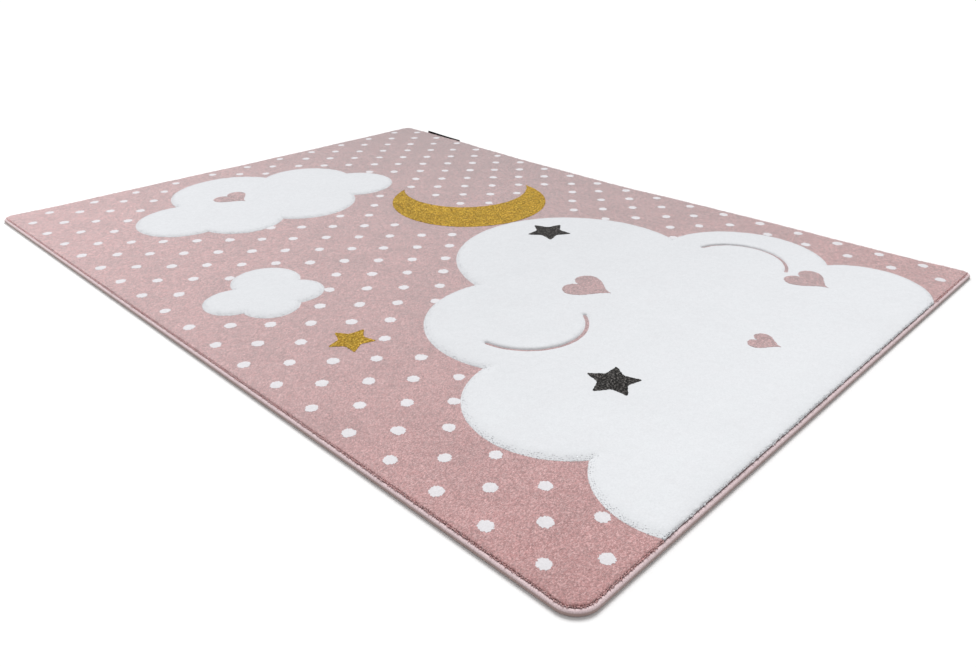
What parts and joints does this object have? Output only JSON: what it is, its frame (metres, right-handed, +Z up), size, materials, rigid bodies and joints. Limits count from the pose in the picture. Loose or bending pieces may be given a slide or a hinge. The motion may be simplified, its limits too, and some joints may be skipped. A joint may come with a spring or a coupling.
{
  "type": "kids rug",
  "caption": "Rectangular kids rug, laid flat: cut pile in low and high relief clouds, rounded corners, overlocked yarn edge and a small folded edge tape.",
  "frame": {"origin": "middle of the rug's box in plan, on the floor under it", "axes": "+Z up out of the pile, +Y along the long sides towards the end with the folded tape, +X across towards the side with the tape"},
  "size_m": [1.221, 1.714, 0.0145],
  "materials": {
    "pile": "soft cut pile, dusty pink with white, mustard and charcoal motifs, matt",
    "binding_yarn": "overlocked yarn, pale pink, slight sheen",
    "black_tape": "woven tape, black, matt, bare"
  },
  "bodies": {
    "root": {"rug_body": "pile", "edge_binding": "binding_yarn", "edge_label": "black_tape"}
  },
  "joints": []
}
